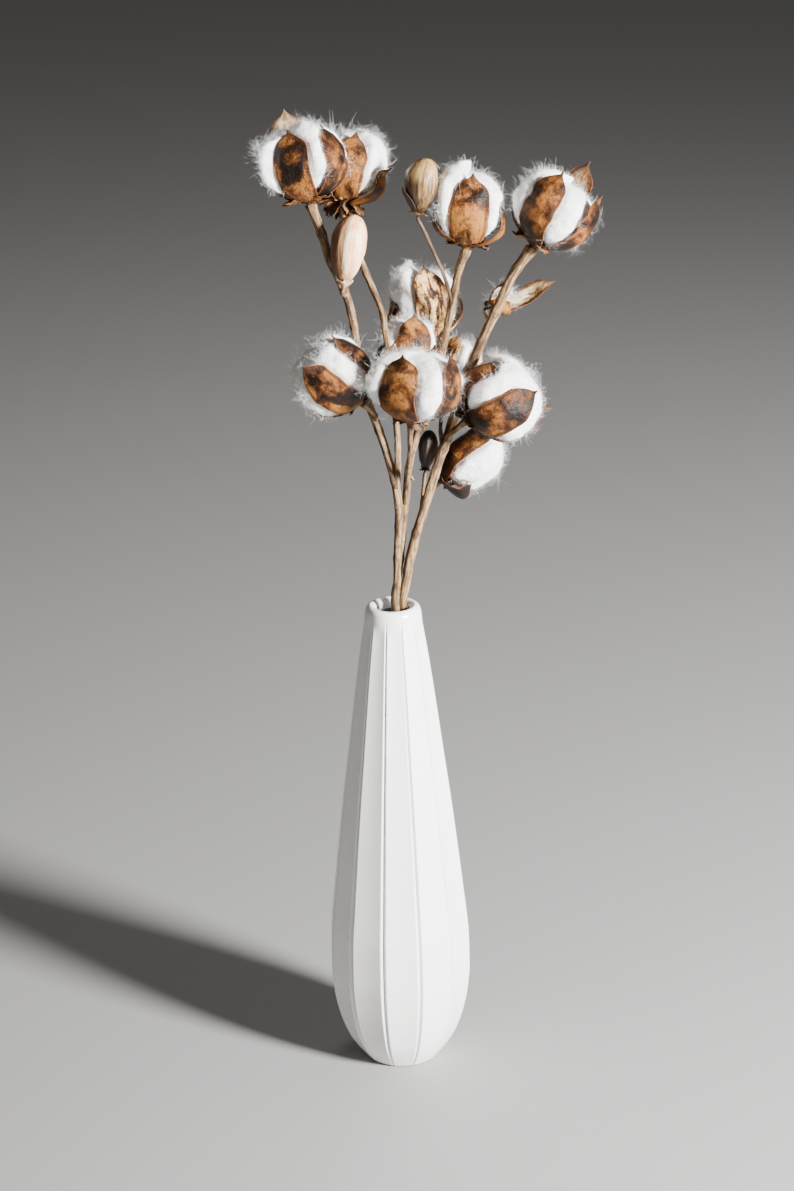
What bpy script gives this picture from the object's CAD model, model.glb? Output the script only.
"""Dresses the cotton stem bunch: a ribbed vase, its foam plug, three stems, open bolls, pods and an empty burr."""

import logging
import math
import random
from dataclasses import dataclass, field
from enum import Enum
from typing import Iterator, Optional, Sequence, Union

import bpy
import numpy as np
from mathutils import Matrix, Vector


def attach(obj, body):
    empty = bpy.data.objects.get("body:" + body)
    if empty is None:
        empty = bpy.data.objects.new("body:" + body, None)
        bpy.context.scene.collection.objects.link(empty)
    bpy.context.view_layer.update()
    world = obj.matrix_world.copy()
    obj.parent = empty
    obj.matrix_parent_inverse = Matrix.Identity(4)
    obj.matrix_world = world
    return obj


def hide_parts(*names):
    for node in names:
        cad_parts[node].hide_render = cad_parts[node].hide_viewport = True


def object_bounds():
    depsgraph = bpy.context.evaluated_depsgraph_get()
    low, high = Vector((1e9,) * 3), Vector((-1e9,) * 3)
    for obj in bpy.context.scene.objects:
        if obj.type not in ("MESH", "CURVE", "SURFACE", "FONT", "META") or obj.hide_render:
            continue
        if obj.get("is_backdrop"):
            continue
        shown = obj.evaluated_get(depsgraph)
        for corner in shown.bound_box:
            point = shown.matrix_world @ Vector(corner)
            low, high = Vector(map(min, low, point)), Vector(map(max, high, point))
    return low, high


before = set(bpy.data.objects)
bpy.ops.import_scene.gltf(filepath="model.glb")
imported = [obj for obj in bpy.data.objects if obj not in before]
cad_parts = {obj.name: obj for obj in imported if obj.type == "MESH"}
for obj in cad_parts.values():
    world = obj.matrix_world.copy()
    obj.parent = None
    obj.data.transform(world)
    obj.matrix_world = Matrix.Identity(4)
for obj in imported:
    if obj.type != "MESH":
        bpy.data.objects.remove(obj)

MM = 0.001
BODY = "root"
GAP = 0.3  # mm between pieces that touch
LOG = logging.getLogger("cotton_stems")

Colour = tuple[float, float, float]
Line = Sequence[tuple[float, float]]
Value = Union[float, Sequence[float], bpy.types.NodeSocket]


class Slot(Enum):
    """The record's material slots."""

    GLAZE = "satin_glaze"
    FOAM = "green_foam"
    BARK = "dry_bark"
    HUSK = "burr_brown"
    PALE_HUSK = "pod_cream"
    LINT = "cotton_lint"


# ---------------------------------------------------------------- shapes


def smooth_values(line: Line, places: np.ndarray) -> np.ndarray:
    """Reads a line of (place, value) pairs along a smooth curve that never overshoots them.

    Args:
        line: The pairs, in rising order of place.
        places: Where to read.

    Returns:
        The values there.
    """
    x, y = np.asarray(line, float).T
    step = np.diff(x)
    slope = np.diff(y) / step
    lean = np.zeros_like(y)
    before, after = slope[:-1], slope[1:]
    same = before * after > 0
    lean[1:-1][same] = 2 * before[same] * after[same] / (before[same] + after[same])
    lean[0], lean[-1] = slope[0], slope[-1]
    places = np.clip(places, x[0], x[-1])
    index = np.clip(np.searchsorted(x, places, side="right") - 1, 0, len(step) - 1)
    t = (places - x[index]) / step[index]
    low, high, width = y[index], y[index + 1], step[index]
    fall = 2 * t**3 - 3 * t**2
    start = (t**3 - 2 * t**2 + t) * width * lean[index]
    end = (t**3 - t**2) * width * lean[index + 1]
    return low * (fall + 1) - high * fall + start + end


def smooth_outline(points: Sequence[Sequence[float]], spacing: float) -> np.ndarray:
    """Places along a smooth curve through the given points.

    Args:
        points: The points, in mm.
        spacing: The distance between the places, in mm.

    Returns:
        The places, one row each.
    """
    given = np.asarray(points, float)
    reach = np.concatenate([[0], np.cumsum(np.linalg.norm(np.diff(given, axis=0), axis=1))])
    steps = [max(3, math.ceil(length / spacing)) for length in np.diff(reach)]
    places = [np.linspace(a, b, n, endpoint=False) for a, b, n in zip(reach, reach[1:], steps)]
    at = np.concatenate([*places, reach[-1:]])
    return np.stack([smooth_values(list(zip(reach, axis)), at) for axis in given.T], -1)


def bend_route(points: Sequence[Sequence[float]], spacing: float) -> np.ndarray:
    """A twig's route on the same curve as its solid, at an even spacing.

    Args:
        points: The points that it passes through, in mm.
        spacing: The distance between its places, in mm.

    Returns:
        The places, one row each.
    """
    given = np.asarray(points, float)
    ends = np.vstack([2 * given[0] - given[1], given, 2 * given[-1] - given[-2]])
    t = np.linspace(0, 1, 12, endpoint=False)[:, None]
    found = []
    for a, b, c, d in zip(ends, ends[1:], ends[2:], ends[3:]):
        curve = 2 * b + (c - a) * t + (2 * a - 5 * b + 4 * c - d) * t**2 + (3 * b - a - 3 * c + d) * t**3
        found.append(curve / 2)
    fine = np.vstack([*found, given[-1:]])
    reach = np.concatenate([[0], np.cumsum(np.linalg.norm(np.diff(fine, axis=0), axis=1))])
    at = np.linspace(0, reach[-1], max(4, round(reach[-1] / spacing)))
    return np.stack([np.interp(at, reach, axis) for axis in fine.T], -1)


def lattice(cells: np.ndarray, seed: int) -> np.ndarray:
    """A fixed chance value from -1 to 1 for each cell of a grid.

    Args:
        cells: Whole-number cell places, three to a row.
        seed: Which set of values.

    Returns:
        One value for each cell.
    """
    x, y, z = (cells[..., axis].astype(np.int64) & 0xFFFFFFFF for axis in range(3))
    mixed = (x * 374761393 + y * 668265263 + z * 1442695041 + seed * 974634777) & 0xFFFFFFFF
    mixed = ((mixed ^ (mixed >> 13)) * 1274126177) & 0xFFFFFFFF
    mixed = mixed ^ (mixed >> 16)
    return (mixed & 0xFFFF) / 32767.5 - 1


def rough(points: np.ndarray, size: float, seed: int = 0) -> np.ndarray:
    """Smooth noise from -1 to 1.

    Args:
        points: Where to read it.
        size: The size of its lumps, in the points' unit.
        seed: Which noise.

    Returns:
        One value for each point.
    """
    scaled = points / size
    cell = np.floor(scaled)
    share = scaled - cell
    share = share * share * (3 - 2 * share)
    total = np.zeros(points.shape[:-1])
    for corner in np.ndindex(2, 2, 2):
        weight = np.prod(np.where(corner, share, 1 - share), axis=-1)
        total += weight * lattice(cell + np.array(corner), seed)
    return total


def unit(vectors: np.ndarray) -> np.ndarray:
    """The vectors at length one."""
    return vectors / np.maximum(np.linalg.norm(vectors, axis=-1, keepdims=True), 1e-9)


def grid_faces(rows: int, columns: int, closed: bool) -> np.ndarray:
    """The faces of a grid of points.

    Args:
        rows: How many rows it has.
        columns: How many points a row has.
        closed: Whether each row is a ring.

    Returns:
        Four point numbers for each face.
    """
    wide = columns if closed else columns - 1
    row, column = np.meshgrid(np.arange(rows - 1), np.arange(wide), indexing="ij")
    after = (column + 1) % columns
    low, high = row * columns, (row + 1) * columns
    return np.stack([low + column, low + after, high + after, high + column], -1).reshape(-1, 4)


def grid_normals(points: np.ndarray, closed: bool) -> np.ndarray:
    """The normals of a grid of points.

    Args:
        points: The grid, as rows, columns and coordinates.
        closed: Whether each row is a ring.

    Returns:
        One normal for each point.
    """
    up = np.gradient(points, axis=0)
    if closed:
        along = np.roll(points, -1, 1) - np.roll(points, 1, 1)
    else:
        along = np.gradient(points, axis=1)
    return unit(np.cross(along, up))


@dataclass
class MeshDraft:
    """Surfaces gathered in metres before they become one mesh, with their grain and their marks."""

    points: list[np.ndarray] = field(default_factory=list)
    grains: list[np.ndarray] = field(default_factory=list)
    marks: list[np.ndarray] = field(default_factory=list)
    faces: list[list[int]] = field(default_factory=list)
    count: int = 0

    def add(self, points: np.ndarray, faces: np.ndarray, grain: np.ndarray, marks: np.ndarray) -> None:
        """Adds a surface.

        Args:
            points: Its points.
            faces: Its faces' point numbers.
            grain: Coordinates that run with its growth, for streaks.
            marks: Four values at each point that its finish reads.
        """
        self.points.append(points.reshape(-1, 3))
        self.grains.append(grain.reshape(-1, 3))
        self.marks.append(marks.reshape(-1, 4))
        self.faces.extend((faces + self.count).tolist())
        self.count += points.size // 3

    def add_shell(self, middle: np.ndarray, thickness: np.ndarray, grain: np.ndarray, marks: np.ndarray,
                  lining: float = 1) -> None:
        """Adds a sheet with a thickness.

        Args:
            middle: The grid of its middle surface.
            thickness: Its thickness at each point.
            grain: Coordinates that run with its growth.
            marks: Four values at each point.
            lining: The third of them on its inner face.
        """
        rows, columns = middle.shape[:2]
        push = grid_normals(middle, False) * thickness[..., None] / 2
        outer = grid_faces(rows, columns, False)
        across, up = np.arange(columns), np.arange(rows) * columns
        rim = np.concatenate([across, up[1:] + columns - 1, across[-2::-1] + up[-1], up[-2:0:-1]])
        after = np.roll(rim, -1)
        count = rows * columns
        walls = np.stack([rim, rim + count, after + count, after], -1)
        faces = np.vstack([outer, outer[:, ::-1] + count, walls])
        inner_marks = marks.copy()
        inner_marks[..., 2] = lining
        self.add(np.stack([middle + push, middle - push]), faces, np.stack([grain, grain + 0.05]),
                 np.stack([marks, inner_marks]))

    def place(self, matrix: Matrix) -> None:
        """Moves all that has been gathered."""
        turn = np.array(matrix.to_3x3())
        shift = np.array(matrix.translation)
        self.points = [points @ turn.T + shift for points in self.points]

    def build(self, name: str, material: bpy.types.Material) -> bpy.types.Object:
        """Makes the mesh object.

        Args:
            name: The object's name.
            material: Its finish.

        Returns:
            The object, at the origin.
        """
        mesh = bpy.data.meshes.new(name)
        mesh.from_pydata(np.vstack(self.points).tolist(), [], self.faces)
        grain = mesh.attributes.new("grain", "FLOAT_VECTOR", "POINT")
        grain.data.foreach_set("vector", np.vstack(self.grains).astype(np.float32).ravel())
        marks = mesh.attributes.new("marks", "FLOAT_COLOR", "POINT")
        marks.data.foreach_set("color", np.vstack(self.marks).astype(np.float32).ravel())
        mesh.shade_smooth()
        mesh.materials.append(material)
        piece = bpy.data.objects.new(name, mesh)
        bpy.context.scene.collection.objects.link(piece)
        return piece


def dress(piece: bpy.types.Object, node: str, slot: Slot) -> None:
    """Lets a piece stand for a solid of the frame.

    Args:
        piece: The finished piece.
        node: The solid's name.
        slot: The material slot that it takes its finish from.
    """
    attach(piece, BODY)
    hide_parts(node)
    LOG.info("%s stands for %s with %d faces", piece.name, node, len(piece.data.polygons))


# ---------------------------------------------------------------- finishes


class Graph:
    """Adds nodes to one node tree and links them."""

    def __init__(self, tree: bpy.types.NodeTree) -> None:
        """Keeps the tree."""
        self.tree = tree

    def feed(self, socket: bpy.types.NodeSocket, value: Value) -> None:
        """Links a socket to another, or sets its value."""
        if isinstance(value, bpy.types.NodeSocket):
            self.tree.links.new(value, socket)
        elif isinstance(value, tuple) and len(value) == 3 and socket.type == "RGBA":
            socket.default_value = (*value, 1)
        else:
            socket.default_value = value

    def node(self, kind: str, values: Optional[dict] = None, **settings: object) -> bpy.types.Node:
        """Adds a node.

        Args:
            kind: Its Blender type.
            values: What its inputs get, by name or number.
            settings: Its own properties.

        Returns:
            The node.
        """
        made = self.tree.nodes.new(kind)
        for name, setting in settings.items():
            setattr(made, name, setting)
        for socket, value in (values or {}).items():
            self.feed(made.inputs[socket], value)
        return made

    def mark(self, channel: str) -> bpy.types.NodeSocket:
        """One of the four values that a mesh carries: Red, Green, Blue or Alpha."""
        read = self.node("ShaderNodeAttribute", attribute_name="marks")
        if channel == "Alpha":
            return read.outputs["Alpha"]
        return self.node("ShaderNodeSeparateColor", {"Color": read.outputs["Color"]}).outputs[channel]

    def grain(self) -> bpy.types.NodeSocket:
        """The coordinates that run with a piece's growth."""
        return self.node("ShaderNodeAttribute", attribute_name="grain").outputs["Vector"]

    def place(self) -> bpy.types.NodeSocket:
        """Coordinates in the object's own space."""
        return self.node("ShaderNodeTexCoord").outputs["Object"]

    def stretch(self, vector: Value, scale: Sequence[float]) -> bpy.types.NodeSocket:
        """Coordinates scaled along each axis."""
        return self.node("ShaderNodeVectorMath", {0: vector, 1: tuple(scale)}, operation="MULTIPLY").outputs[0]

    def noise(self, vector: Value, scale: float, detail: float = 3, twist: float = 0) -> bpy.types.NodeSocket:
        """Noise from 0 to 1.

        Args:
            vector: Its coordinates.
            scale: How fine it is.
            detail: How many finer layers it has.
            twist: How far its shapes are bent.

        Returns:
            Its value.
        """
        values = {"Vector": vector, "Scale": scale, "Detail": detail, "Distortion": twist}
        return self.node("ShaderNodeTexNoise", values).outputs["Fac"]

    def math(self, operation: str, first: Value, second: Value = 0.0) -> bpy.types.NodeSocket:
        """The outcome of one sum, kept as it is."""
        return self.node("ShaderNodeMath", {0: first, 1: second}, operation=operation).outputs[0]

    def span(self, value: Value, low: float, high: float, start: float = 0, end: float = 1) -> bpy.types.NodeSocket:
        """A value read smoothly from one span to another.

        Args:
            value: What is read.
            low: The value that gives start.
            high: The value that gives end.
            start: The lowest outcome.
            end: The highest outcome.

        Returns:
            The outcome.
        """
        values = {"Value": value, "From Min": low, "From Max": high, "To Min": start, "To Max": end}
        return self.node("ShaderNodeMapRange", values, interpolation_type="SMOOTHSTEP").outputs["Result"]

    def mix(self, share: Value, first: Value, second: Value, blend: str = "MIX") -> bpy.types.NodeSocket:
        """Two colours blended.

        Args:
            share: How much of the second.
            first: The colour beneath.
            second: The colour above.
            blend: The way they are blended.

        Returns:
            The blend.
        """
        made = self.node("ShaderNodeMix", data_type="RGBA", blend_type=blend)
        for socket, value in ((0, share), (6, first), (7, second)):
            self.feed(made.inputs[socket], value)
        return made.outputs[2]

    def ramp(self, value: Value, stops: Sequence[tuple[float, Colour]]) -> bpy.types.NodeSocket:
        """A colour read from a row of stops.

        Args:
            value: Where to read.
            stops: Places with their colours.

        Returns:
            The colour.
        """
        made = self.node("ShaderNodeValToRGB", {0: value})
        points = made.color_ramp.elements
        while len(points) < len(stops):
            points.new(1)
        for point, (place, colour) in zip(points, stops):
            point.position = place
            point.color = (*colour, 1)
        return made.outputs["Color"]

    def bump(self, height: Value, distance: float, strength: float = 1, normal: Optional[Value] = None) -> Value:
        """A normal from a height map.

        Args:
            height: The height.
            distance: How far a height of one stands out, in metres.
            strength: How much of it shows.
            normal: A normal to build on.

        Returns:
            The normal.
        """
        values = {"Height": height, "Distance": distance, "Strength": strength}
        if normal is not None:
            values["Normal"] = normal
        return self.node("ShaderNodeBump", values).outputs["Normal"]

    def use(self, group: bpy.types.NodeTree, values: dict) -> bpy.types.Node:
        """Places a shared effect with its own values."""
        made = self.tree.nodes.new("ShaderNodeGroup")
        made.node_tree = group
        for socket, value in values.items():
            self.feed(made.inputs[socket], value)
        return made


def start_group(name: str, inputs: dict[str, float], outputs: Sequence[str]) -> tuple[Graph, dict, bpy.types.Node]:
    """Starts a shared effect with a vector input and float inputs and outputs.

    Args:
        name: The effect's name.
        inputs: Its float inputs with their usual values.
        outputs: Its float outputs.

    Returns:
        Its graph, its inputs by name, and the node that its outputs go to.
    """
    tree = bpy.data.node_groups.new(name, "ShaderNodeTree")
    tree.interface.new_socket("Vector", in_out="INPUT", socket_type="NodeSocketVector")
    for title, usual in inputs.items():
        made = tree.interface.new_socket(title, in_out="INPUT", socket_type="NodeSocketFloat")
        made.default_value = usual
    for title in outputs:
        tree.interface.new_socket(title, in_out="OUTPUT", socket_type="NodeSocketFloat")
    graph = Graph(tree)
    entry = graph.node("NodeGroupInput")
    return graph, {socket.name: socket for socket in entry.outputs}, graph.node("NodeGroupOutput")


@dataclass
class Effects:
    """The effects that several finishes share."""

    mottle: bpy.types.NodeTree
    streaks: bpy.types.NodeTree

    @classmethod
    def make(cls) -> "Effects":
        """Builds each effect once."""
        return cls(cls.make_mottle(), cls.make_streaks())

    @staticmethod
    def make_mottle() -> bpy.types.NodeTree:
        """Blotches of two sizes, and the fine specks on them."""
        graph, given, leave = start_group("mottle", {"Scale": 200, "Twist": 0.8}, ("Blotches", "Specks"))
        coarse = graph.node("ShaderNodeTexNoise", {"Vector": given["Vector"], "Scale": given["Scale"], "Detail": 4,
                                                   "Distortion": given["Twist"]})
        finer = graph.math("MULTIPLY", given["Scale"], 7.0)
        fine = graph.node("ShaderNodeTexNoise", {"Vector": given["Vector"], "Scale": finer, "Detail": 2})
        graph.feed(leave.inputs["Blotches"], coarse.outputs["Fac"])
        graph.feed(leave.inputs["Specks"], graph.span(fine.outputs["Fac"], 0.60, 0.72))
        return graph.tree

    @staticmethod
    def make_streaks() -> bpy.types.NodeTree:
        """Streaks that run with the growth, as a soft mask and as sharp lines."""
        graph, given, leave = start_group("streaks", {"Fineness": 900, "Length": 0.08}, ("Soft", "Lines"))
        split = graph.node("ShaderNodeSeparateXYZ", {0: given["Vector"]})
        drawn = graph.math("MULTIPLY", split.outputs["Z"], given["Length"])
        vector = graph.node("ShaderNodeCombineXYZ", {0: split.outputs["X"], 1: split.outputs["Y"], 2: drawn})
        soft = graph.node("ShaderNodeTexNoise", {"Vector": vector.outputs[0], "Scale": given["Fineness"],
                                                 "Detail": 3, "Distortion": 0.3})
        thrice = graph.math("MULTIPLY", given["Fineness"], 2.6)
        lines = graph.node("ShaderNodeTexNoise", {"Vector": vector.outputs[0], "Scale": thrice, "Detail": 1})
        graph.feed(leave.inputs["Soft"], soft.outputs["Fac"])
        graph.feed(leave.inputs["Lines"], graph.span(lines.outputs["Fac"], 0.56, 0.68))
        return graph.tree


def start_material(name: str) -> tuple[bpy.types.Material, Graph, bpy.types.Node]:
    """Starts a finish.

    Args:
        name: The material's name.

    Returns:
        The material, its graph and its shader.
    """
    material = bpy.data.materials.new(name)
    material.use_nodes = True
    return material, Graph(material.node_tree), material.node_tree.nodes["Principled BSDF"]


@dataclass(frozen=True)
class GlazeFinish:
    """White satin glaze, a little thinner on the shoulders and pooled in the grooves, on a bare foot."""

    white: Colour = (0.88, 0.87, 0.85)
    pooled: Colour = (0.80, 0.785, 0.755)
    bare: Colour = (0.66, 0.60, 0.52)

    def make(self, effects: Effects) -> bpy.types.Material:
        """Builds the finish."""
        material, graph, shader = start_material("white_satin_glaze")
        mottle = graph.use(effects.mottle, {"Vector": graph.place(), "Scale": 38.0, "Twist": 0.4})
        cloud = graph.span(mottle.outputs["Blotches"], 0.35, 0.7)
        pool = graph.math("MULTIPLY", graph.mark("Green"), 0.8)
        colour = graph.mix(pool, self.white, self.pooled)
        colour = graph.mix(graph.math("MULTIPLY", cloud, 0.10), colour, self.pooled)
        colour = graph.mix(graph.mark("Blue"), colour, self.bare)
        graph.feed(shader.inputs["Base Color"], colour)
        rub = graph.span(cloud, 0, 1, 0.24, 0.34)
        rough_foot = graph.math("MULTIPLY", graph.mark("Blue"), 0.5)
        graph.feed(shader.inputs["Roughness"], graph.math("ADD", rub, rough_foot))
        wave = graph.noise(graph.place(), 90, 2)
        pits = graph.noise(graph.place(), 900, 1)
        normal = graph.bump(wave, 0.00035, 0.35)
        graph.feed(shader.inputs["Normal"], graph.bump(pits, 0.00005, 0.3, normal))
        shader.inputs["Coat Weight"].default_value = 0.35
        shader.inputs["Coat Roughness"].default_value = 0.14
        return material


@dataclass(frozen=True)
class FoamFinish:
    """Crumbly green floral foam."""

    dark: Colour = (0.003, 0.016, 0.011)
    light: Colour = (0.012, 0.065, 0.042)

    def make(self, effects: Effects) -> bpy.types.Material:
        """Builds the finish."""
        material, graph, shader = start_material("floral_foam")
        mottle = graph.use(effects.mottle, {"Vector": graph.place(), "Scale": 420.0, "Twist": 0.2})
        shade = graph.span(mottle.outputs["Blotches"], 0.3, 0.7)
        graph.feed(shader.inputs["Base Color"], graph.mix(shade, self.dark, self.light))
        cells = graph.node("ShaderNodeTexVoronoi", {"Vector": graph.place(), "Scale": 1500.0})
        graph.feed(shader.inputs["Normal"], graph.bump(cells.outputs["Distance"], 0.0006, 0.9))
        graph.feed(shader.inputs["Roughness"], graph.span(mottle.outputs["Specks"], 0, 1, 0.85, 1))
        return material


@dataclass(frozen=True)
class BarkFinish:
    """Dry cotton bark: beige, streaked along the stem, browner at its joints."""

    pale: Colour = (0.31, 0.195, 0.088)
    tan: Colour = (0.165, 0.088, 0.032)
    brown: Colour = (0.042, 0.0185, 0.0075)
    dark: Colour = (0.010, 0.0055, 0.0035)

    def make(self, effects: Effects) -> bpy.types.Material:
        """Builds the finish."""
        material, graph, shader = start_material("dry_cotton_bark")
        streaks = graph.use(effects.streaks, {"Vector": graph.grain(), "Fineness": 750.0, "Length": 0.10})
        mottle = graph.use(effects.mottle, {"Vector": graph.place(), "Scale": 75.0, "Twist": 1.2})
        base = graph.ramp(streaks.outputs["Soft"], [(0.34, self.brown), (0.46, self.tan), (0.58, self.pale)])
        stain = graph.span(mottle.outputs["Blotches"], 0.50, 0.66, 0, 0.7)
        base = graph.mix(stain, base, self.brown)
        base = graph.mix(graph.math("MULTIPLY", streaks.outputs["Lines"], 0.65), base, self.brown)
        base = graph.mix(graph.math("MULTIPLY", mottle.outputs["Specks"], 0.65), base, self.dark)
        joint = graph.math("MULTIPLY", graph.mark("Green"), 0.9)
        graph.feed(shader.inputs["Base Color"], graph.mix(joint, base, self.brown))
        graph.feed(shader.inputs["Roughness"], graph.span(streaks.outputs["Soft"], 0.3, 0.7, 0.9, 0.7))
        ridge = graph.bump(streaks.outputs["Soft"], 0.0007, 0.7)
        graph.feed(shader.inputs["Normal"], graph.bump(streaks.outputs["Lines"], 0.0002, 0.6, ridge))
        return material


@dataclass(frozen=True)
class HuskFinish:
    """A dried husk: smoky and mottled outside with a thin pink rim, smooth and creamy inside."""

    name: str = "burr_husk"
    dark: Colour = (0.006, 0.0028, 0.0014)
    umber: Colour = (0.022, 0.0078, 0.0024)
    brown: Colour = (0.060, 0.0185, 0.0036)
    golden: Colour = (0.150, 0.049, 0.0085)
    tan: Colour = (0.29, 0.118, 0.026)
    rim: Colour = (0.24, 0.070, 0.025)
    inside: Colour = (0.82, 0.61, 0.34)
    inside_shade: Colour = (0.20, 0.075, 0.018)
    streaked: float = 0.0  # how much of its mottling runs lengthwise
    smoke: float = 0.42  # how far its broad patches swing either way

    def outside(self, graph: Graph, effects: Effects) -> tuple[bpy.types.NodeSocket, bpy.types.NodeSocket]:
        """The outer face.

        Args:
            graph: The material's graph.
            effects: The shared effects.

        Returns:
            Its colour and its tone, from 0 dark to 1 light.
        """
        smoke = graph.use(effects.mottle, {"Vector": graph.grain(), "Scale": 85.0, "Twist": 0.5})
        mottle = graph.use(effects.mottle, {"Vector": graph.grain(), "Scale": 420.0, "Twist": 0.4})
        grit = graph.noise(graph.grain(), 2300, 3)
        tone = graph.span(smoke.outputs["Blotches"], 0.32, 0.68, 0.48 - self.smoke, 0.48 + self.smoke)
        tone = graph.math("ADD", tone, graph.span(mottle.outputs["Blotches"], 0.25, 0.75, -0.15, 0.15))
        tone = graph.math("ADD", tone, graph.span(grit, 0.3, 0.7, -0.20, 0.20))
        if self.streaked:
            streaks = graph.use(effects.streaks, {"Vector": graph.grain(), "Fineness": 330.0, "Length": 0.25})
            line = graph.span(streaks.outputs["Soft"], 0.40, 0.54, -self.streaked, 0.4 * self.streaked)
            tone = graph.math("ADD", tone, line)
        tone = graph.math("ADD", tone, graph.math("MULTIPLY", graph.mark("Alpha"), 0.22))
        tone = graph.math("SUBTRACT", tone, 0.13)
        stops = [(0.16, self.dark), (0.32, self.umber), (0.50, self.brown), (0.68, self.golden), (0.92, self.tan)]
        colour = graph.ramp(tone, stops)
        colour = graph.mix(graph.math("MULTIPLY", mottle.outputs["Specks"], 0.75), colour, self.umber)
        seam = graph.math("MULTIPLY", graph.span(graph.mark("Green"), 0.76, 0.86),
                          graph.span(graph.mark("Green"), 0.97, 0.90))
        colour = graph.mix(graph.math("MULTIPLY", seam, 0.65), colour, self.umber)
        colour = graph.mix(graph.span(graph.mark("Green"), 0.95, 0.99, 0, 0.8), colour, self.rim)
        colour = graph.mix(graph.span(graph.mark("Red"), 0.0, 0.16, 0.8, 0), colour, self.umber)
        return graph.mix(graph.span(graph.mark("Red"), 0.86, 1.0, 0, 0.75), colour, self.umber), tone

    def lining(self, graph: Graph, effects: Effects) -> bpy.types.NodeSocket:
        """The inner face's colour.

        Args:
            graph: The material's graph.
            effects: The shared effects.

        Returns:
            The colour.
        """
        streaks = graph.use(effects.streaks, {"Vector": graph.grain(), "Fineness": 420.0, "Length": 0.35})
        colour = graph.mix(graph.span(streaks.outputs["Soft"], 0.40, 0.56, 0.85, 0), self.inside, self.inside_shade)
        colour = graph.mix(graph.math("MULTIPLY", streaks.outputs["Lines"], 0.6), colour, self.umber)
        colour = graph.mix(graph.span(graph.mark("Green"), 0.45, 0.85, 0, 0.95), colour, self.brown)
        colour = graph.mix(graph.span(graph.mark("Red"), 0.0, 0.3, 0.8, 0), colour, self.inside_shade)
        return graph.mix(graph.span(graph.mark("Red"), 0.72, 0.96, 0, 0.85), colour, self.brown)

    def make(self, effects: Effects) -> bpy.types.Material:
        """Builds the finish."""
        material, graph, shader = start_material(self.name)
        outside, tone = self.outside(graph, effects)
        colour = graph.mix(graph.mark("Blue"), outside, self.lining(graph, effects))
        graph.feed(shader.inputs["Base Color"], colour)
        graph.feed(shader.inputs["Roughness"], graph.span(tone, 0.2, 0.8, 0.46, 0.68))
        shader.inputs["Specular IOR Level"].default_value = 0.2
        mottle = graph.use(effects.mottle, {"Vector": graph.grain(), "Scale": 260.0, "Twist": 1.2})
        wrinkle = graph.bump(mottle.outputs["Blotches"], 0.0012, 0.5)
        streaks = graph.use(effects.streaks, {"Vector": graph.grain(), "Fineness": 700.0, "Length": 0.3})
        ribs = graph.bump(streaks.outputs["Soft"], 0.0005, 0.45, wrinkle)
        grit = graph.noise(graph.grain(), 2600, 2)
        graph.feed(shader.inputs["Normal"], graph.bump(grit, 0.0003, 0.6, ribs))
        return material


@dataclass(frozen=True)
class PodFinish:
    """The husk of a closed pod: drawn lengthwise into fine streaks, darker on one side and at its foot."""

    name: str
    pale: Colour
    streak: Colour
    shade: Colour
    line: Colour
    side_start: float = 0.40  # how far round from the left the darker side reaches
    top_share: float = 0.0  # how much lighter the top is
    fineness: float = 260.0
    foot_reach: float = 0.30  # how far up the darker foot reaches

    def make(self, effects: Effects) -> bpy.types.Material:
        """Builds the finish."""
        material, graph, shader = start_material(self.name)
        broad = graph.use(effects.streaks, {"Vector": graph.grain(), "Fineness": self.fineness, "Length": 0.10})
        fine = graph.use(effects.streaks, {"Vector": graph.grain(), "Fineness": 1300.0, "Length": 0.05})
        colour = graph.mix(graph.span(broad.outputs["Soft"], 0.38, 0.62), self.streak, self.pale)
        colour = graph.mix(graph.span(fine.outputs["Soft"], 0.35, 0.60, 0.45, 0), colour, self.streak)
        round_from_left = graph.math("ADD", graph.mark("Alpha"), graph.span(broad.outputs["Soft"], 0.3, 0.7, -0.05, 0.05))
        side = graph.span(round_from_left, self.side_start - 0.10, self.side_start, 1, 0)
        colour = graph.mix(graph.math("MULTIPLY", side, 0.9), colour, self.shade)
        if self.top_share:
            top = graph.span(graph.mark("Red"), 0.55, 0.9, 0, self.top_share)
            colour = graph.mix(top, colour, self.pale)
        foot = graph.span(graph.mark("Red"), 0.02, self.foot_reach, 0.85, 0)
        colour = graph.mix(foot, colour, self.shade)
        seam = graph.span(graph.mark("Green"), 0.60, 0.95, 0, 0.6)
        colour = graph.mix(seam, colour, self.streak)
        colour = graph.mix(graph.math("MULTIPLY", fine.outputs["Lines"], 0.35), colour, self.line)
        graph.feed(shader.inputs["Base Color"], colour)
        graph.feed(shader.inputs["Roughness"], graph.span(fine.outputs["Soft"], 0.3, 0.7, 0.36, 0.52))
        ribs = graph.bump(broad.outputs["Soft"], 0.0008, 0.5)
        graph.feed(shader.inputs["Normal"], graph.bump(fine.outputs["Soft"], 0.0003, 0.6, ribs))
        return material


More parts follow.
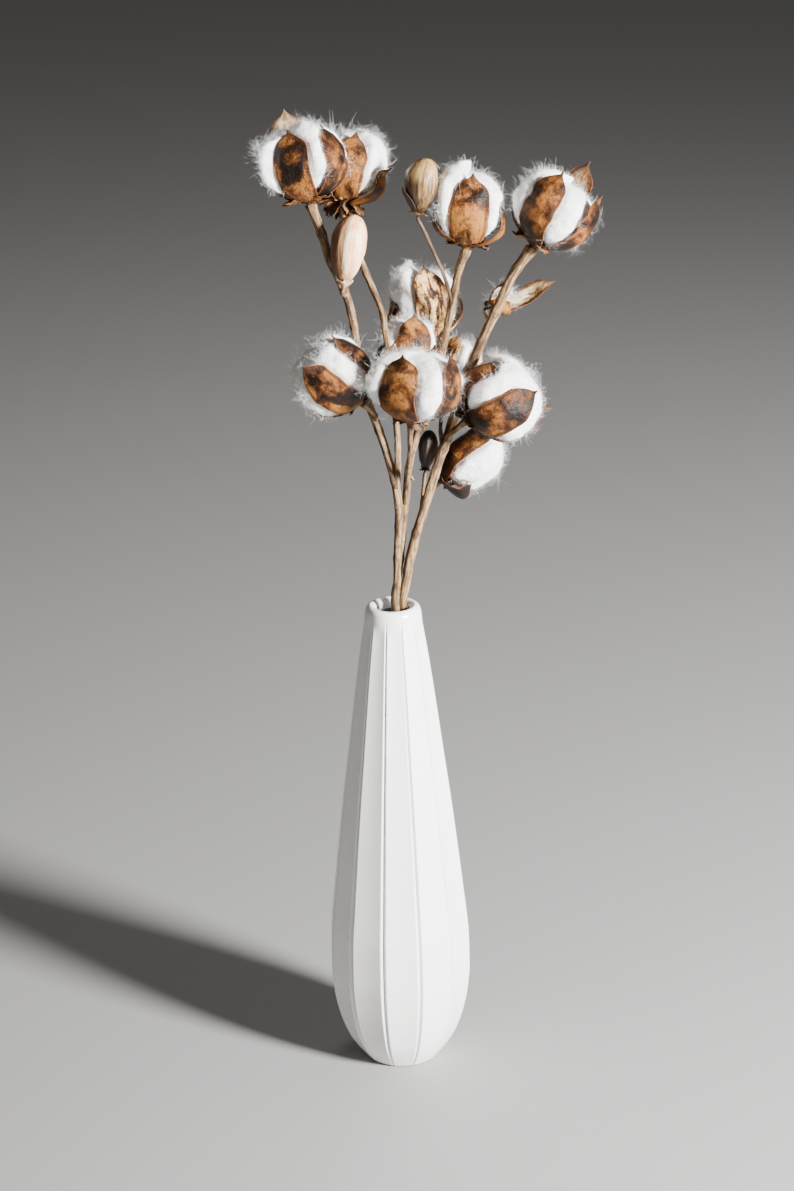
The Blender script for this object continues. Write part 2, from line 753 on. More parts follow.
@dataclass(frozen=True)
class LintFinish:
    """Cotton fibre: white and matte, soft in its folds."""

    white: Colour = (0.95, 0.93, 0.90)
    fold: Colour = (0.76, 0.705, 0.63)
    stained: Colour = (0.55, 0.42, 0.29)

    def make(self, effects: Effects) -> bpy.types.Material:
        """Builds the finish."""
        material, graph, shader = start_material("cotton_fibre")
        mottle = graph.use(effects.mottle, {"Vector": graph.place(), "Scale": 260.0, "Twist": 2.5})
        strands = graph.noise(graph.stretch(graph.place(), (1, 1, 0.35)), 1500, 3, 3.0)
        fold = graph.span(graph.mark("Green"), 0.0, 0.50, 0.6, 0)
        colour = graph.mix(fold, self.white, self.fold)
        shade = graph.span(strands, 0.35, 0.6, 0.10, 0)
        colour = graph.mix(shade, colour, self.fold)
        foot = graph.span(graph.mark("Red"), 0.0, 0.22, 0.6, 0)
        graph.feed(shader.inputs["Base Color"], graph.mix(foot, colour, self.stained))
        graph.feed(shader.inputs["Roughness"], graph.span(strands, 0.3, 0.7, 1.0, 0.85))
        soft = graph.bump(mottle.outputs["Blotches"], 0.0012, 0.6)
        graph.feed(shader.inputs["Normal"], graph.bump(strands, 0.0005, 0.6, soft))
        shader.inputs["Sheen Weight"].default_value = 0.35
        shader.inputs["Sheen Roughness"].default_value = 0.6
        shader.inputs["Subsurface Weight"].default_value = 0.25
        shader.inputs["Subsurface Scale"].default_value = 0.004
        shader.inputs["Specular IOR Level"].default_value = 0.1
        return material


@dataclass(frozen=True)
class FloorFinish:
    """A plain pale surface."""

    pale: Colour = (0.29, 0.285, 0.28)

    def make(self, effects: Effects) -> bpy.types.Material:
        """Builds the finish."""
        material, graph, shader = start_material("pale_floor")
        mottle = graph.use(effects.mottle, {"Vector": graph.place(), "Scale": 3.0, "Twist": 0.2})
        cloud = graph.span(mottle.outputs["Blotches"], 0.3, 0.7, 0, 0.06)
        graph.feed(shader.inputs["Base Color"], graph.mix(cloud, self.pale, (0.26, 0.255, 0.25)))
        graph.feed(shader.inputs["Roughness"], graph.span(mottle.outputs["Blotches"], 0.3, 0.7, 0.62, 0.7))
        return material


# ---------------------------------------------------------------- vase and foam


@dataclass
class Vase:
    """A tall teardrop shell whose outside is pressed into lobes, with a groove between each two."""

    outer: Line = ((0, 20.6), (0.8, 22.0), (3, 23.6), (8, 27.2), (17, 32.3), (30, 36.7), (44, 39.5), (60, 40.8),
                   (80, 40.5), (104, 38.1), (132, 35.0), (162, 31.4), (192, 27.4), (222, 23.5), (248, 19.9),
                   (262, 17.7), (270, 16.4), (275, 15.8))
    lip: Line = ((277.6, 15.2), (279.4, 13.9), (280, 12.5), (279.5, 11.0), (277, 9.5))
    inner: Line = ((258, 9.5), (238, 15.2), (205, 21.0), (150, 28.0), (100, 33.6), (58, 35.8), (28, 30.9),
                   (10, 20.0), (6, 0))
    foot: Line = ((1.2, 0.0), (1.2, 15.6), (0.9, 16.6), (0.1, 17.2), (0.0, 18.0))
    lobes: int = 12
    first_groove: float = -14  # degrees from the front, towards +X
    groove_depth: float = 1.5
    groove_top: float = 273.5
    groove_fade: float = 7
    shoulder_share: float = 0.075  # of a lobe's width, from the groove to the panel's edge
    hollow: float = 0.22  # how far a panel's middle lies in from a flat one
    across: tuple = (0, 0.016, 0.034, 0.054, 0.075, 0.10, 0.16, 0.26, 0.38)

    def groove(self, height: np.ndarray) -> np.ndarray:
        """How deep the grooves are at a height, in mm: none at the lip, shallow at the foot."""
        below_lip = np.clip((self.groove_top - height) / self.groove_fade, 0, 1)
        below_lip = below_lip * below_lip * (3 - 2 * below_lip)
        return self.groove_depth * below_lip * np.clip(0.45 + height / 40, 0, 1)

    def build(self, material: bpy.types.Material) -> bpy.types.Object:
        """Makes the vase.

        Args:
            material: Its glaze.

        Returns:
            The piece.
        """
        outside = smooth_outline([(r, z) for z, r in self.outer + self.lip[:3]], 3.0)
        inside = smooth_outline([(r, z) for z, r in self.lip[2:] + self.inner], 9.0)[1:]
        under = np.array([(r, z) for z, r in self.foot])
        outline = np.vstack([under, outside, inside])
        half = np.array(self.across)
        share = np.concatenate([half, [0.5], 1 - half[:0:-1]])
        angle = math.radians(self.first_groove) + math.tau / self.lobes * (np.arange(self.lobes)[:, None] + share)
        near = np.tile(np.minimum(share, 1 - share), self.lobes)
        angle = angle.ravel()
        depth = np.zeros(len(outline))
        part = slice(len(under), len(under) + len(outside))
        depth[part] = self.groove(outside[:, 1])
        valley = np.clip(1 - near / self.shoulder_share, 0, 1) ** 1.6
        turn = math.tau / self.lobes * (0.5 - np.maximum(near, self.shoulder_share))
        flat = math.cos(math.pi / self.lobes * (1 - 2 * self.shoulder_share)) / np.cos(turn)
        hollow = self.hollow * (1 - ((0.5 - near) / (0.5 - self.shoulder_share)) ** 2)
        faceted = depth[:, None] / self.groove_depth
        radius = outline[:, :1] * (1 + faceted * (flat - 1)) - faceted * np.maximum(hollow, 0)
        radius = radius - depth[:, None] * valley
        x, y = radius * np.sin(angle), -radius * np.cos(angle)
        z = np.broadcast_to(outline[:, 1:], radius.shape)
        points = np.stack([x, y, z], -1) * MM
        bare = np.zeros_like(radius)
        bare[: len(under) + 2] = 1
        pool = depth[:, None] / self.groove_depth * valley
        marks = np.stack([z / 280, pool, bare, np.zeros_like(z)], -1)
        draft = MeshDraft()
        draft.add(points, grid_faces(len(outline), len(angle), True), points, marks)
        return draft.build("ribbed_vase", material)


@dataclass
class FoamPlug:
    """The crumbly crown of foam round the stems."""

    radius: float = 9.2
    bottom: float = 259
    edge: float = 271.6
    crown: float = 276.5
    rings: int = 34
    columns: int = 84

    def build(self, material: bpy.types.Material) -> bpy.types.Object:
        """Makes the plug.

        Args:
            material: Its foam.

        Returns:
            The piece.
        """
        lean = np.linspace(0, math.pi / 2, self.rings)
        dome = [(self.radius * math.cos(a) ** 0.8, self.edge + (self.crown - self.edge) * math.sin(a)) for a in lean]
        outline = np.array([(0.0, self.bottom), (self.radius, self.bottom), (self.radius, self.edge - 3), *dome])
        angle = np.linspace(0, math.tau, self.columns, endpoint=False)
        radius = np.maximum(outline[:, :1], 0) * np.ones_like(angle)
        points = np.stack([radius * np.sin(angle), -radius * np.cos(angle),
                           np.broadcast_to(outline[:, 1:], radius.shape)], -1)
        shake = 0.45 * rough(points, 2.2, 5) + 0.3 * rough(points, 0.9, 6)
        shake[:3] = 0
        points[..., 2] += shake
        points[..., :2] *= (1 + 0.02 * np.minimum(shake, 0))[..., None]
        draft = MeshDraft()
        marks = np.zeros((*points.shape[:2], 4))
        draft.add(points * MM, grid_faces(len(outline), self.columns, True), points * MM, marks)
        return draft.build("crumbled_foam", material)


# ---------------------------------------------------------------- what the twigs carry


@dataclass(frozen=True)
class Head:
    """What a twig carries: where it sits and its sizes (mm and degrees)."""

    foot: tuple
    middle: tuple
    radius: float
    length: float
    carpels: int = 4
    turn: float = 0
    half_width: float = 30
    opening: float = 0.5
    rise: float = 1.0
    lengths: tuple = ()
    leans: tuple = ()
    locks: tuple = ()  # how far out each lock of its lint swells
    heights: tuple = ()  # how tall each lock stands
    slump: float = 0.0  # how far the top of its lint sags to the left, in mm
    turns: tuple = ()
    widths: tuple = ()
    bracts: float = 1.0
    paleness: float = 0.0  # how much lighter its husk is than usual
    lining: float = 0.45  # how creamy the inside of its husk is
    tones: tuple = ()  # how much lighter each carpel is than the others

    def pick(self, values: tuple, index: int, usual: float) -> float:
        """The value with this index, or the usual one where none is given."""
        return values[index] if index < len(values) else usual

    def axis(self) -> Vector:
        """Which way it points."""
        return (Vector(self.middle) - Vector(self.foot)).normalized()

    def place(self) -> Matrix:
        """A placing at its foot with +Z along its axis and -Y towards the front."""
        up = self.axis()
        front = (Vector((0, -1, 0)) - up * Vector((0, -1, 0)).dot(up)).normalized()
        turn = Matrix((up.cross(front), -front, up)).transposed().to_4x4()
        return Matrix.Translation(Vector(self.foot) * MM) @ turn

    def carpel_turns(self) -> np.ndarray:
        """Where its carpels stand round the axis, and once more the first, in radians."""
        indexes = range(self.carpels + 1)
        even = [self.turn + 360 / self.carpels * index for index in indexes]
        offsets = [self.pick(self.turns, index % self.carpels, 0) for index in indexes]
        return np.radians(np.add(even, offsets))

    def cover(self, index: int) -> float:
        """A carpel's length, as a share of the head's."""
        return self.pick(self.lengths, index % self.carpels, 1)


HEADS = {
    "01": Head((-38.5, -1.0, 506.7), (-42.6, 4.0, 530.7), 22.0, 38, 5, -14, 26, 0.5, 1.1,
               lengths=(1, 1, 1, 1.32, 0.9), leans=(0, 0, -1.3, 7, 0), locks=(1.04, 1, 1, 0.92, 1.2),
               heights=(1.06, 1, 1, 0.85, 0.96), turns=(0, 4, 0, -6, 0), widths=(1, 1, 1, 1.35, 1),
               tones=(0.2, -1.2, 0, 0, 0), paleness=0.0, lining=0.95),
    "02": Head((-22.2, 31.0, 498.5), (-16.8, 38.0, 520.8), 18.0, 37, 4, -5, 27, 1.0, 1.08,
               lengths=(1, 0.62, 1, 0.9), leans=(0, 5, 0, 0), locks=(1.04, 1.06, 1, 1), heights=(1.04, 1.06), turns=(0, -18, 0, 0),
               tones=(0, 1.2, 0, 0), bracts=1.7, paleness=0.5),
    "03": Head((43.2, 14.0, 477.3), (46.2, 19.0, 499.4), 19.5, 37, 4, -5, 31, 0.5, 1.08,
               lengths=(1, 0.75, 0.9, 0.8), locks=(1.02, 1, 1, 1.08), heights=(1.03, 1, 1, 1.17),
               tones=(0.8, 0, 0, 0), slump=2.4, paleness=0.15),
    "04": Head((-14.3, -12.0, 400.2), (-31.9, -15.0, 418.1), 20.5, 42, 4, -8, 26, 0.5, 1.0,
               lengths=(1, 0.9, 0.9, 0.8), bracts=0.65, tones=(0.6, 0, 0, 0), slump=1.5, paleness=-0.8),
    "05": Head((79.0, 13.0, 477.8), (91.4, 15.0, 497.7), 21.5, 40, 4, -32, 25, 1.0, 0.99,
               lengths=(1.04, 1, 1.25, 0.85), leans=(0, 1, 2, 0), locks=(1, 1, 1, 1.04), heights=(1, 1, 1, 1.1), turns=(0, 0, 14, 0),
               paleness=-0.3, lining=0.3),
    "06": Head((42.2, 0.0, 384.9), (64.5, -1.0, 399.0), 22.5, 43, 4, 5, 27, 0.5, 1.0,
               lengths=(0.95, 0.95, 0.9, 0.8), paleness=-0.2),
    "07": Head((28.1, 22.0, 343.9), (47.8, 27.0, 355.3), 14.5, 40, 3, -66, 36, 0.5, 1.0,
               lengths=(1, 0.3, 0.9), bracts=0.55, paleness=-0.5),
    "08": Head((11.7, -31.0, 394.0), (14.8, -30.0, 414.6), 23.5, 39, 4, -27, 27, 0.0, 1.0,
               locks=(1.05, 1, 1, 1.06), heights=(1.03, 1, 1, 1.04), tones=(0.9, 0, 0, 0), bracts=0.6),
    "09": Head((10.8, 15.0, 403.8), (11.8, 20.0, 422.1), 17.8, 34, 4, 8, 30, 0.5, 1.0,
               lengths=(1, 0.9, 1, 0.65), turns=(0, -15, 0, 0), paleness=-0.1),
    "10": Head((23.6, 52.0, 414.8), (19.1, 59.0, 436.4), 20.5, 39, 4, 22, 27, 1.0, 1.05,
               lengths=(1, 0.8, 1, 0.7), locks=(1, 1, 1, 1.0), heights=(1, 1, 1, 1.16), bracts=0.45,
               paleness=0.7, lining=0.9),
    "11": Head((32.8, 39.0, 392.3), (39.3, 46.0, 406.2), 11.5, 28, 4, 48, 30, 1.0, 1.0, paleness=2.4, lining=0.9),
    "pod_left": Head((-22.5, -9.0, 463.4), (-19.3, -8.0, 482.7), 9.8, 38.5, 3, -99, opening=0.5),
    "pod_middle": Head((18.0, 10.0, 496.6), (19.3, 10.0, 510.0), 9.2, 30.5, 4, 10, opening=2),
    "pod_low": Head((19.3, 19.0, 350.9), (21.2, 21.0, 364.7), 5.5, 23, 4, 30, opening=0),
    "empty": Head((55.9, 32.0, 439.8), (70.0, 30.0, 448.0), 7.5, 35, 3, 130, 44, 1.5, 0.3,
                  lengths=(1, 0.6, 0.35), paleness=1.3, lining=1.0),
}


@dataclass
class Burr:
    """The husk of an open boll: cupped, pointed carpels on a calyx with crumpled bracts."""

    name: str
    head: Head
    line: Line = ((0.02, 0.16), (0.10, 0.48), (0.27, 0.85), (0.47, 1.0), (0.68, 0.95), (0.87, 0.81), (1.0, 0.73))
    width: Line = ((0.0, 0.42), (0.16, 0.75), (0.42, 1.0), (0.62, 1.0), (0.78, 0.84), (0.88, 0.56), (0.94, 0.27),
                   (0.97, 0.10), (1.0, 0.02))
    beak: float = 0.05  # how far the tip is drawn out, as a share of the length
    curl: float = 0.10
    rows: int = 30
    columns: int = 17
    bracts: int = 3

    def seed(self) -> int:
        """A number of its own for its noise."""
        return sum(ord(letter) * (index + 3) for index, letter in enumerate(self.name))

    def carpel(self, length: float, opening: float, wide: float, chance: float) -> tuple[np.ndarray, ...]:
        """One carpel before it is turned into place, in mm.

        Args:
            length: Its length.
            opening: How far its tip leans out.
            wide: How much wider than usual it is.
            chance: A value from 0 to 1 that makes it its own.

        Returns:
            Its middle surface, thickness, grain and marks.
        """
        radius = self.head.radius
        along = np.sin(np.linspace(0, math.pi / 2, self.rows))[:, None] * np.ones(self.columns)
        across = np.ones((self.rows, 1)) * np.sin(np.linspace(-1, 1, self.columns) * math.pi / 2)
        places = np.linspace(0, 1, len(self.line))
        height = smooth_values([(p, high) for p, (high, out) in zip(places, self.line)], along) * length
        height = height + self.beak * length * np.clip((along - 0.88) / 0.12, 0, 1) ** 2
        out = smooth_values([(p, out) for p, (high, out) in zip(places, self.line)], along) * radius
        out = out + opening * along**2
        half = smooth_values(self.width, along) * math.radians(self.head.half_width) * wide
        half = half * radius / np.maximum(out, 0.45 * radius)
        angle = half * across
        grain = np.stack([out * angle, np.full_like(out, 40 * chance + self.seed()), height], -1)
        edge = np.abs(across)
        out = out + self.curl * radius * across**2 * along * (1 - along)
        out = out + 0.9 * edge**5 * (0.4 + rough(grain, 5, 3)) * np.sin(math.pi * along)
        out = out + 0.8 * rough(grain, 8, 1) + 0.3 * rough(grain * (1, 1, 0.5), 2.6, 2)
        out = out - 0.5 * np.exp(-((across / 0.10) ** 2)) * along * (1 - along) * 2
        flick = (chance - 0.4) * 3.2
        out = out + flick * np.clip((along - 0.82) / 0.18, 0, 1) ** 2
        angle = angle + 0.05 * rough(grain, 6, 4) * edge**3
        height = height + 0.5 * rough(grain, 4, 5) * edge**4
        middle = np.stack([out * np.sin(angle), -out * np.cos(angle), height], -1)
        thickness = 1.1 - 0.55 * edge**3 - 0.3 * along
        tone = np.full_like(along, chance + self.head.paleness)
        marks = np.stack([along, edge, np.zeros_like(along), tone], -1)
        return middle, np.maximum(thickness, 0.3), grain, marks

    def add_calyx(self, draft: MeshDraft) -> None:
        """Adds the cup under the carpels, with the thickened end of the twig below it."""
        radius = self.head.radius
        outline = np.array([(0.0, -1.6), (0.085, -1.6), (0.10, -0.8), (0.13, 0.2), (0.20, 0.07 * radius),
                            (0.30, 0.13 * radius), (0.37, 0.19 * radius), (0.33, 0.20 * radius), (0.0, 0.17 * radius)])
        outline[:, 0] *= radius
        fine = smooth_outline(outline, 0.8)
        angle = np.linspace(0, math.tau, 40, endpoint=False)
        lobed = 1 + 0.05 * np.cos(5 * angle) * np.clip(fine[:, 1:] / (0.2 * radius), 0, 1)
        out = fine[:, :1] * lobed
        points = np.stack([out * np.sin(angle), -out * np.cos(angle), np.broadcast_to(fine[:, 1:], out.shape)], -1)
        points = points + 0.35 * rough(points, 1.6, self.seed())[..., None] * points / radius * 2.5
        grain = np.stack([out * angle, np.full_like(out, self.seed()), points[..., 2]], -1)
        marks = np.zeros((*out.shape, 4))
        marks[..., 0] = 0.12
        marks[..., 3] = 0.3
        draft.add(points * MM, grid_faces(len(fine), len(angle), True), grain * MM, marks)

    def add_bract(self, draft: MeshDraft, turn: float, size: float, droop: float, chance: float) -> None:
        """Adds a dried, crumpled bract with a torn end.

        Args:
            draft: What it is added to.
            turn: Where it stands round the axis, in radians.
            size: How large it is.
            droop: How far it leans from straight up, in radians.
            chance: A value from 0 to 1 that makes it its own.
        """
        radius = self.head.radius
        length = 0.44 * radius * size
        along = np.linspace(0, 1, 14)[:, None] * np.ones(11)
        across = np.ones((14, 1)) * np.linspace(-1, 1, 11)
        tear = 0.80 + 0.20 * np.cos(across * 9 + chance * 6) - 0.12 * across**2
        half = radius * (0.10 + 0.16 * np.sin(math.pi * np.clip(along, 0, 0.9))) * math.sqrt(size)
        height = along * length * (1 - (1 - tear) * along**2)
        grain = np.stack([half * across, np.full_like(along, 70 * chance + self.seed()), height], -1)
        fold = 0.6 * np.abs(across) * half * 0.5 + 1.1 * rough(grain, 3.0, 7) * along + 0.5 * rough(grain, 1.3, 8)
        middle = np.stack([half * across, fold - 0.8 * along**2, height], -1)
        marks = np.stack([0.15 + 0.5 * along, np.abs(across) * 0.9, np.zeros_like(along),
                          np.full_like(along, chance)], -1)
        leaf = MeshDraft()
        leaf.add_shell(middle * MM, np.full(along.shape, 0.4) * MM, grain * MM, marks, 0.12)
        foot = Matrix.Translation((0, -0.22 * radius * MM, 0.05 * radius * MM))
        leaf.place(Matrix.Rotation(turn, 4, "Z") @ foot @ Matrix.Rotation(droop, 4, "X"))
        draft.add(leaf.points[0], np.array(leaf.faces), leaf.grains[0], leaf.marks[0])

    def gather(self) -> MeshDraft:
        """Gathers carpels, calyx and bracts in place.

        Returns:
            The draft.
        """
        head = self.head
        draw = random.Random(self.name)
        chances = random.Random(self.name + "_look")
        draft = MeshDraft()
        for index, turn in enumerate(head.carpel_turns()[: head.carpels]):
            length = head.length * head.cover(index) * draw.uniform(0.97, 1.03)
            opening = head.opening + head.pick(head.leans, index, 0) + draw.uniform(0, 1)
            wide = head.pick(head.widths, index, 1)
            tone = chances.random() + head.pick(head.tones, index, 0)
            middle, thickness, grain, marks = self.carpel(length, opening, wide, tone)
            blade = MeshDraft()
            blade.add_shell(middle * MM, thickness * MM, grain * MM, marks, head.lining)
            blade.place(Matrix.Rotation(turn, 4, "Z"))
            draft.add(blade.points[0], np.array(blade.faces), blade.grains[0], blade.marks[0])
        self.add_calyx(draft)
        for index in range(self.bracts):
            turn = math.radians(head.turn) + math.tau * (index + 0.5) / self.bracts
            size = draw.uniform(0.8, 1.2) * head.bracts
            droop = math.radians(draw.uniform(75, 125))
            self.add_bract(draft, turn, size, droop, chances.random())
            self.add_bract(draft, turn + 0.75, 0.7 * size, droop - 0.4, chances.random())
            if head.bracts > 1:
                self.add_bract(draft, turn + 0.3, 0.75 * size, droop + 0.8, chances.random())
                self.add_bract(draft, turn - 0.5, 0.6 * size, droop + 0.5, chances.random())
        draft.place(head.place())
        return draft

    def build(self, material: bpy.types.Material) -> bpy.types.Object:
        """Makes the burr with its finish."""
        return self.gather().build(self.name + "_husk", material)


@dataclass
class Fibres:
    """Single cotton fibres: thin, tapered and curled."""

    seed: int
    thickness: float = 0.052  # mm, the radius at the root
    steps: int = 4
    curl: float = 0.30

    def add(self, draft: MeshDraft, roots: np.ndarray, normals: np.ndarray, lengths: np.ndarray,
            lifts: np.ndarray, marks: np.ndarray) -> None:
        """Adds a fibre at each root.

        Args:
            draft: What they are added to, in mm.
            roots: Where they start.
            normals: Which way is out at each root.
            lengths: How long each is, in mm.
            lifts: How far each stands up, from 0 lying to 1 upright.
            marks: Four values for each fibre.
        """
        chance = np.random.default_rng(self.seed)
        swirl = np.stack([rough(roots, 9, self.seed + axis) for axis in range(3)], -1)
        swirl = swirl + 0.5 * chance.normal(size=roots.shape)
        lying = unit(swirl - normals * np.sum(swirl * normals, -1, keepdims=True))
        way = unit(lying * (1 - lifts[:, None]) + normals * lifts[:, None])
        curl = chance.normal(size=roots.shape) * self.curl
        place = roots - normals * 0.25
        rings = []
        for step in range(self.steps + 1):
            side = unit(np.cross(way, np.array([0.31, 0.52, 0.79])))
            other = np.cross(way, side)
            size = self.thickness * (1 - 0.8 * step / self.steps)
            corners = [place + size * (side * math.cos(a) + other * math.sin(a)) for a in (0, 2.094, 4.189)]
            rings.append(np.stack(corners, 1))
            place = place + way * (lengths / self.steps)[:, None]
            drift = np.stack([rough(place, 4, self.seed + 7 + axis) for axis in range(3)], -1)
            way = unit(way + curl + 0.35 * drift + normals * (0.10 - 0.25 * lifts[:, None]))
        points = np.stack(rings, 1)
        count = len(roots)
        faces = grid_faces(self.steps + 1, 3, True)
        faces = (faces[None] + (np.arange(count) * 3 * (self.steps + 1))[:, None, None]).reshape(-1, 4)
        spread = np.broadcast_to(marks[:, None, None, :], (*points.shape[:3], 4))
        draft.add(points, faces, points, spread.copy())


@dataclass
class Lint:
    """The ball of cotton in a boll: a rounded lock in each gap between carpels, with loose fibres."""

    name: str
    head: Head
    inset: float = 1.75
    low: float = 0.13
    high: float = 0.97
    full: float = 2.3
    swell: float = 1.07
    cleft: float = 0.92
    bulge: float = 0.45  # how steeply a lock swells beside a carpel: less is steeper
    rows: int = 50
    columns: int = 84
    down: float = 2.5  # short fibres for each square mm of the boll's length by its radius
    loose: float = 0.62  # long ones
    tufts: int = 26
    tuft_strands: int = 13

    def seed(self) -> int:
        """A number of its own for its noise."""
        return sum(ord(letter) * (index + 5) for index, letter in enumerate(self.name))

    def held_radius(self, height: np.ndarray, dome: np.ndarray, cover: float) -> np.ndarray:
        """The lint's radius behind a carpel.

        Args:
            height: Heights along the axis.
            dome: The free ball's radius at each, as a share of the head's.
            cover: The carpel's length, as a share of the head's.

        Returns:
            The radii, in mm.
        """
        head = self.head
        line = [(high * cover * head.length, out * head.radius) for high, out in Burr("", head).line]
        husk = smooth_values(line, np.minimum(height, cover * head.length))
        return np.maximum(np.minimum(husk - self.inset, self.cleft * head.radius * dome), 0)

    def cover_angle(self, height: np.ndarray, index: int) -> np.ndarray:
        """How far round from its middle a carpel covers the lint at each height, in radians."""
        head = self.head
        burr = Burr("", head)
        places = np.linspace(0, 1, len(burr.line))
        high, out = np.array(burr.line).T
        up = height / (head.length * head.cover(index))
        along = np.interp(up, high, places)
        half = smooth_values(burr.width, along) * math.radians(head.half_width)
        half = half * head.pick(head.widths, index % head.carpels, 1) / np.maximum(np.interp(up, high, out), 0.45)
        return np.where(up < 1, half, 0)

    def surface(self) -> tuple[np.ndarray, np.ndarray, np.ndarray]:
        """The ball's surface before its fine lumps.

        Returns:
            Its points in mm, how free of the carpels each is, and where it may grow fibres.
        """
        head = self.head
        draw = random.Random(self.name)
        turns = head.carpel_turns()
        fullness = [head.pick(head.locks, lock, 1) * draw.uniform(0.98, 1.02) for lock in range(head.carpels)]
        stature = [head.pick(head.heights, lock, 1) for lock in range(head.carpels)]
        share = (1 - np.cos(np.linspace(0, math.pi, self.rows))) / 2
        dome = np.maximum(1 - np.abs(2 * share - 1) ** self.full, 0) ** (1 / self.full)
        height = (self.low + (head.rise * self.high - self.low) * share) * head.length
        angles = turns[0] + math.tau * np.arange(self.columns) / self.columns
        points, free = [], []
        for angle in angles:
            lock = min(int(np.searchsorted(turns, angle, side="right")) - 1, head.carpels - 1)
            start, end = turns[lock], turns[lock + 1]
            near = lock if angle < (start + end) / 2 else lock + 1
            gap = (end - start) / 2
            edge = np.minimum(self.cover_angle(height, near), 0.9 * gap)
            inward = (abs(angle - turns[near]) - edge) / (gap - edge)
            swell = np.sin(math.pi / 2 * np.clip(inward, 0, 1)) ** self.bulge
            held = self.held_radius(height, dome, head.cover(near))
            out = held * (1 - swell) + self.swell * head.radius * dome * fullness[lock] * swell
            tall = height * (1 + (stature[lock] - 1) * share * swell**3)
            points.append(np.stack([out * math.sin(angle), -out * math.cos(angle), tall], -1))
            free.append(swell)
        points, free = np.stack(points, 1), np.stack(free, 1)
        points[..., 0] -= head.slump * np.clip(share, 0, 1)[:, None] ** 4
        return points, free, self.uncovered(points, angles, turns)

    def uncovered(self, points: np.ndarray, angles: np.ndarray, turns: np.ndarray) -> np.ndarray:
        """Where no carpel lies over the ball.

        Args:
            points: The ball's surface.
            angles: The angle of each of its columns.
            turns: Where the carpels stand.

        Returns:
            1 where it is open and 0 where a carpel covers it.
        """
        shown = np.ones(points.shape[:2])
        for index in range(self.head.carpels):
            apart = np.abs((angles - turns[index] + math.pi) % math.tau - math.pi)
            shown[apart[None] < 1.12 * self.cover_angle(points[..., 2], index)] = 0
        return shown

    def build(self, material: bpy.types.Material) -> bpy.types.Object:
        """Makes the cotton.

        Args:
            material: Its finish.

        Returns:
            The piece.
        """
        points, free, shown = self.surface()
        seed = self.seed()
        centre = np.array([0, 0, self.head.length * 0.5])
        lump = 1.3 * rough(points, 9, seed) + 0.75 * rough(points, 3.8, seed + 1)
        lump = lump + 0.4 * rough(points, 1.8, seed + 2) + 0.1
        points = points + unit(points - centre) * (lump * (0.25 + 0.75 * free))[..., None]
        share = np.linspace(0, 1, self.rows)[:, None] * np.ones(self.columns)
        light = np.clip(0.62 + 0.30 * lump, 0, 1) * (0.35 + 0.65 * free**0.6)
        marks = np.stack([share, light, np.zeros_like(light), np.full_like(light, 0.5)], -1)
        draft = MeshDraft()
        draft.add(points, grid_faces(self.rows, self.columns, True), points, marks)
        self.add_fibres(draft, points, shown, marks)
        draft.points = [part * MM for part in draft.points]
        draft.grains = [part * MM for part in draft.grains]
        draft.place(self.head.place())
        return draft.build(self.name + "_cotton", material)

    def add_fibres(self, draft: MeshDraft, points: np.ndarray, shown: np.ndarray, marks: np.ndarray) -> None:
        """Adds loose fibres all over the open part of the ball.

        Args:
            draft: What they are added to.
            points: The ball's surface.
            shown: Where they may grow.
            marks: The surface's marks.
        """
        chance = np.random.default_rng(self.seed())
        normals = grid_normals(points, True).reshape(-1, 3)
        wide = np.linalg.norm(np.roll(points, -1, 1) - points, axis=-1)
        tall = np.linalg.norm(np.gradient(points, axis=0), axis=-1)
        weight = (wide * tall * shown).ravel()
        size = self.head.radius * self.head.length
        beside = np.roll(points, -1, 1).reshape(-1, 3)
        surface = points.reshape(-1, 3)

        def pick(count: int) -> np.ndarray:
            """Chooses places all over the open part."""
            return chance.choice(len(surface), size=count, p=weight / weight.sum())

        def grow(picked: np.ndarray, roots: np.ndarray, outward: np.ndarray, reach: tuple, lift: tuple,
                 steps: int, curl: float) -> None:
            """Grows fibres of these lengths and lifts."""
            own = marks.reshape(-1, 4)[picked].copy()
            own[:, 1] = np.maximum(own[:, 1], 0.7)
            lengths, lifts = chance.uniform(*reach, len(picked)), chance.uniform(*lift, len(picked))
            Fibres(self.seed() + steps, steps=steps, curl=curl).add(draft, roots, outward, lengths, lifts, own)

        picked = pick(round(self.down * size))
        step = chance.random((len(picked), 1))
        spot = surface[picked] * (1 - step) + beside[picked] * step
        grow(picked, spot, normals[picked], (1.2, 3.0), (0.25, 0.8), 2, 0.25)
        picked = pick(round(self.loose * size))
        step = chance.random((len(picked), 1))
        spot = surface[picked] * (1 - step) + beside[picked] * step
        grow(picked, spot, normals[picked], (3.5, 8), (0.15, 0.8), 5, 0.55)
        centres = pick(self.tufts)
        picked = np.repeat(centres, self.tuft_strands)
        spot = surface[picked] + chance.normal(size=(len(picked), 3)) * 1.5
        sway = np.repeat(chance.normal(size=(len(centres), 3)) * 0.45, self.tuft_strands, axis=0)
        grow(picked, spot, unit(normals[picked] + sway), (3, 9), (0.5, 0.95), 5, 0.50)


